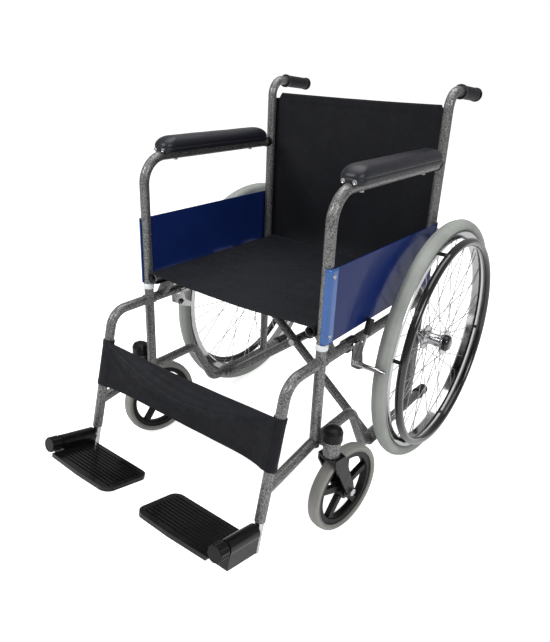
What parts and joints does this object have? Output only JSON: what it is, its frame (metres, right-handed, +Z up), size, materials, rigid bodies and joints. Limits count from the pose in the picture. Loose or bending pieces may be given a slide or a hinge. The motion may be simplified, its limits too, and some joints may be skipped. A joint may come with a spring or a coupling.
{
  "type": "manual wheelchair",
  "caption": "Folding manual wheelchair with slung seat and back, large rear wheels with handrims, swivelling casters, flip-up footplates and tyre brakes.",
  "frame": {"origin": "on the floor at the middle of the chair's length and width", "axes": "+Z up; the chair faces -Y; +X is the sitter's left"},
  "size_m": [0.677, 1.0779, 0.9048],
  "materials": {
    "hammertone": "hammered silver paint with dark veins",
    "black_plastic": "satin",
    "black_pad": "soft polyurethane, fine grain",
    "blue_panel": "glossy",
    "grip_rubber": "ribbed, matte",
    "steel": "zinc plated",
    "chrome": "plated",
    "grey_tyre": "light grey solid tyre",
    "black_gloss": "gloss black",
    "black_paint": "satin black",
    "black_gloss_plastic": "glossy, ribbed",
    "black_fabric": "woven nylon"
  },
  "bodies": {
    "side_left": {"arm_frame_left": "hammertone", "back_post_left": "hammertone", "side_rail_left": "hammertone", "lower_rail_left": "hammertone", "caster_cap_left": "black_plastic", "arm_pad_left": "black_pad", "side_panel_left": "blue_panel", "push_grip_left": "grip_rubber", "rail_tip_left": "grip_rubber", "frame_screws_left": "steel", "brake_bracket_left": "chrome", "rear_axle_left": "chrome", "backrest": "black_fabric", "calf_strap": "black_fabric"},
    "side_right": {"arm_frame_right": "hammertone", "back_post_right": "hammertone", "side_rail_right": "hammertone", "lower_rail_right": "hammertone", "caster_cap_right": "black_plastic", "arm_pad_right": "black_pad", "side_panel_right": "blue_panel", "push_grip_right": "grip_rubber", "rail_tip_right": "grip_rubber", "frame_screws_right": "steel", "brake_bracket_right": "chrome", "rear_axle_right": "chrome"},
    "brace_a": {"cross_brace_left": "hammertone", "brace_bolt": "steel", "seat_sling_right": "black_fabric"},
    "brace_b": {"cross_brace_right": "hammertone", "seat_sling_left": "black_fabric"},
    "rear_wheel_left": {"rear_hub_left": "chrome", "rear_spokes_left": "steel", "rear_rim_left": "chrome", "rear_tyre_left": "grey_tyre", "handrim_left": "black_gloss"},
    "caster_swivel_left": {"caster_fork_left": "black_paint", "caster_axle_left": "steel"},
    "caster_wheel_left": {"caster_wheel_left": "black_plastic", "caster_tyre_left": "grey_tyre"},
    "footrest_left": {"footrest_tube_left": "chrome", "foot_knob_left": "black_plastic"},
    "footplate_left": {"footplate_left": "black_gloss_plastic"},
    "brake_lever_left": {"brake_lever_left": "chrome"},
    "brake_shoe_left": {"brake_shoe_left": "chrome"},
    "rear_wheel_right": {"rear_hub_right": "chrome", "rear_spokes_right": "steel", "rear_rim_right": "chrome", "rear_tyre_right": "grey_tyre", "handrim_right": "black_gloss"},
    "caster_swivel_right": {"caster_fork_right": "black_paint", "caster_axle_right": "steel"},
    "caster_wheel_right": {"caster_wheel_right": "black_plastic", "caster_tyre_right": "grey_tyre"},
    "footrest_right": {"footrest_tube_right": "chrome", "foot_knob_right": "black_plastic"},
    "footplate_right": {"footplate_right": "black_gloss_plastic"},
    "brake_lever_right": {"brake_lever_right": "chrome"},
    "brake_shoe_right": {"brake_shoe_right": "chrome"}
  },
  "joints": [
    {"name": "fold", "type": "hinge", "parent": "side_left", "child": "brace_a", "pos_m": [0.245, 0.05797, 0.095], "axis": [0, 1, 0], "range_deg": [0, 45], "deforming": ["seat_sling_left", "seat_sling_right", "backrest", "calf_strap"]},
    {"name": "brace_cross", "type": "hinge", "parent": "brace_a", "child": "brace_b", "pos_m": [0, 0.05797, 0.274], "axis": [0, 1, 0], "range_deg": [-90, 0]},
    {"name": "right_side_level", "type": "hinge", "parent": "brace_b", "child": "side_right", "pos_m": [-0.245, 0.05797, 0.095], "axis": [0, 1, 0], "range_deg": [0, 45]},
    {"name": "rear_wheel_left_spin", "type": "hinge", "parent": "side_left", "child": "rear_wheel_left", "pos_m": [0.298, 0.23397, 0.305], "axis": [1, 0, 0], "continuous": true},
    {"name": "caster_left_swivel", "type": "hinge", "parent": "side_left", "child": "caster_swivel_left", "pos_m": [0.287, -0.22403, 0.2], "axis": [0, 0, 1], "continuous": true},
    {"name": "caster_left_spin", "type": "hinge", "parent": "caster_swivel_left", "child": "caster_wheel_left", "pos_m": [0.29396, -0.17452, 0.1], "axis": [0.9903, -0.1392, 0], "continuous": true},
    {"name": "footrest_left_slide", "type": "slide", "parent": "side_left", "child": "footrest_left", "axis": [0, 0.2419, 0.9703], "range_m": [-0.05, 0.005]},
    {"name": "footplate_left_flip", "type": "hinge", "parent": "footrest_left", "child": "footplate_left", "pos_m": [0.245, -0.40484, 0.115], "axis": [0, 0.9703, -0.2419], "range_deg": [0, 90]},
    {"name": "brake_lever_left", "type": "hinge", "parent": "side_left", "child": "brake_lever_left", "pos_m": [0.266, -0.11403, 0.372], "axis": [-1, 0, 0], "range_deg": [0, 40]},
    {"name": "brake_shoe_left", "type": "hinge", "parent": "side_left", "child": "brake_shoe_left", "pos_m": [0.26, -0.09803, 0.352], "axis": [-1, 0, 0], "range_deg": [0, 32]},
    {"name": "rear_wheel_right_spin", "type": "hinge", "parent": "side_right", "child": "rear_wheel_right", "pos_m": [-0.298, 0.23397, 0.305], "axis": [1, 0, 0], "continuous": true},
    {"name": "caster_right_swivel", "type": "hinge", "parent": "side_right", "child": "caster_swivel_right", "pos_m": [-0.287, -0.22403, 0.2], "axis": [0, 0, 1], "continuous": true},
    {"name": "caster_right_spin", "type": "hinge", "parent": "caster_swivel_right", "child": "caster_wheel_right", "pos_m": [-0.2766, -0.17513, 0.1], "axis": [0.9781, -0.2079, 0], "continuous": true},
    {"name": "footrest_right_slide", "type": "slide", "parent": "side_right", "child": "footrest_right", "axis": [0, 0.2419, 0.9703], "range_m": [-0.05, 0.005]},
    {"name": "footplate_right_flip", "type": "hinge", "parent": "footrest_right", "child": "footplate_right", "pos_m": [-0.245, -0.40484, 0.115], "axis": [0, -0.9703, 0.2419], "range_deg": [0, 90]},
    {"name": "brake_lever_right", "type": "hinge", "parent": "side_right", "child": "brake_lever_right", "pos_m": [-0.266, -0.11403, 0.372], "axis": [-1, 0, 0], "range_deg": [0, 40]},
    {"name": "brake_shoe_right", "type": "hinge", "parent": "side_right", "child": "brake_shoe_right", "pos_m": [-0.26, -0.09803, 0.352], "axis": [-1, 0, 0], "range_deg": [0, 32]}
  ],
  "couplings": [
    {"joint": "brace_cross", "follows": "fold", "ratio": -2},
    {"joint": "right_side_level", "follows": "fold", "ratio": 1},
    {"joint": "footplate_left_flip", "follows": "fold", "ratio": 2},
    {"joint": "footplate_right_flip", "follows": "fold", "ratio": 2},
    {"joint": "brake_shoe_left", "follows": "brake_lever_left", "ratio": 0.8},
    {"joint": "brake_shoe_right", "follows": "brake_lever_right", "ratio": 0.8}
  ]
}
